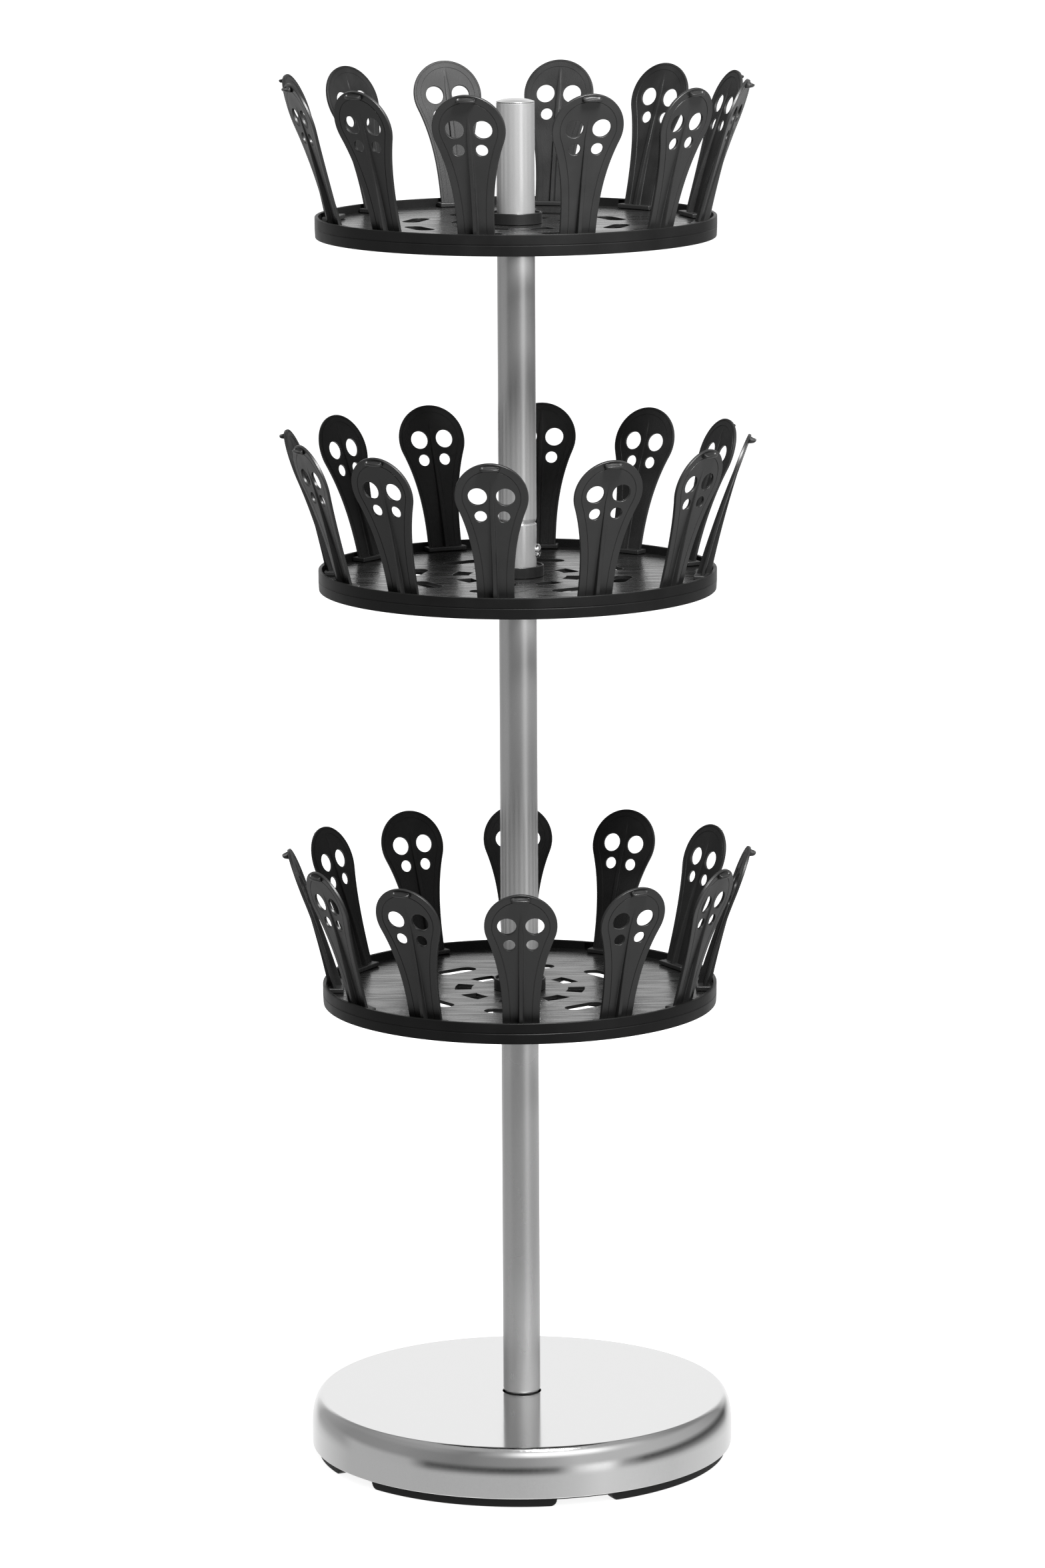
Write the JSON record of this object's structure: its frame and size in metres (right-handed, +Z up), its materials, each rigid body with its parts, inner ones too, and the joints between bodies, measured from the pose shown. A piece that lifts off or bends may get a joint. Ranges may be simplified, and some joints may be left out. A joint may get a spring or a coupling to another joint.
{
  "type": "revolving shoe tree",
  "caption": "Three-tier revolving shoe tree: round weighted base, silver pole and turning trays ringed by paddle-shaped shoe holders.",
  "frame": {"origin": "centre of the round base, on the floor", "axes": "+Z up along the pole; the snap buttons point along +X; -Y is the front"},
  "size_m": [0.3406, 0.3406, 0.9991],
  "materials": {
    "base_silver": "glossy silver paint on pressed steel",
    "pole_silver": "satin silver powder coat on steel tube",
    "bright_steel": "bright plated",
    "iron": "rough casting",
    "tray_black": "satin moulded plastic",
    "paddle_black": "fine-grained moulded plastic",
    "bush_black": "semi-gloss moulded plastic",
    "pan_black": "matt moulded plastic",
    "pad_rubber": "matt"
  },
  "bodies": {
    "root": {"base_cover": "base_silver", "base_ballast": "iron", "base_underside": "pan_black", "foot_ring": "pad_rubber", "anchor_bolt": "bright_steel", "anchor_washer": "bright_steel", "pole_foot_plug": "pan_black", "pole_lower_tube": "pole_silver", "pole_middle_tube": "pole_silver", "pole_upper_tube": "pole_silver", "pole_cap": "pole_silver", "lower_support_ring": "bush_black", "middle_support_ring": "bush_black", "upper_support_ring": "bush_black", "lower_snap_spring": "bright_steel", "middle_snap_spring": "bright_steel"},
    "lower_tier": {"lower_tray": "tray_black", "lower_hub_bush": "bush_black", "lower_paddle_01": "paddle_black", "lower_paddle_02": "paddle_black", "lower_paddle_03": "paddle_black", "lower_paddle_04": "paddle_black", "lower_paddle_05": "paddle_black", "lower_paddle_06": "paddle_black", "lower_paddle_07": "paddle_black", "lower_paddle_08": "paddle_black", "lower_paddle_09": "paddle_black", "lower_paddle_10": "paddle_black", "lower_paddle_11": "paddle_black", "lower_paddle_12": "paddle_black"},
    "middle_tier": {"middle_tray": "tray_black", "middle_hub_bush": "bush_black", "middle_paddle_01": "paddle_black", "middle_paddle_02": "paddle_black", "middle_paddle_03": "paddle_black", "middle_paddle_04": "paddle_black", "middle_paddle_05": "paddle_black", "middle_paddle_06": "paddle_black", "middle_paddle_07": "paddle_black", "middle_paddle_08": "paddle_black", "middle_paddle_09": "paddle_black", "middle_paddle_10": "paddle_black", "middle_paddle_11": "paddle_black", "middle_paddle_12": "paddle_black"},
    "upper_tier": {"upper_tray": "tray_black", "upper_hub_bush": "bush_black", "upper_paddle_01": "paddle_black", "upper_paddle_02": "paddle_black", "upper_paddle_03": "paddle_black", "upper_paddle_04": "paddle_black", "upper_paddle_05": "paddle_black", "upper_paddle_06": "paddle_black", "upper_paddle_07": "paddle_black", "upper_paddle_08": "paddle_black", "upper_paddle_09": "paddle_black", "upper_paddle_10": "paddle_black", "upper_paddle_11": "paddle_black", "upper_paddle_12": "paddle_black"},
    "lower_button": {"lower_snap_button": "bright_steel"},
    "middle_button": {"middle_snap_button": "bright_steel"}
  },
  "joints": [
    {"name": "lower_tray_spin", "type": "hinge", "parent": "root", "child": "lower_tier", "pos_m": [0, 0, 0.3436], "axis": [0, 0, 1], "continuous": true},
    {"name": "middle_tray_spin", "type": "hinge", "parent": "root", "child": "middle_tier", "pos_m": [0, 0, 0.6446], "axis": [0, 0, 1], "continuous": true},
    {"name": "upper_tray_spin", "type": "hinge", "parent": "root", "child": "upper_tier", "pos_m": [0, 0, 0.8958], "axis": [0, 0, 1], "continuous": true},
    {"name": "lower_button_press", "type": "slide", "parent": "root", "child": "lower_button", "axis": [-1, 0, 0], "range_m": [0, 0.003], "stiffness_N_per_m": 1200, "springref_m": -0.002},
    {"name": "middle_button_press", "type": "slide", "parent": "root", "child": "middle_button", "axis": [-1, 0, 0], "range_m": [0, 0.003], "stiffness_N_per_m": 1200, "springref_m": -0.002}
  ]
}
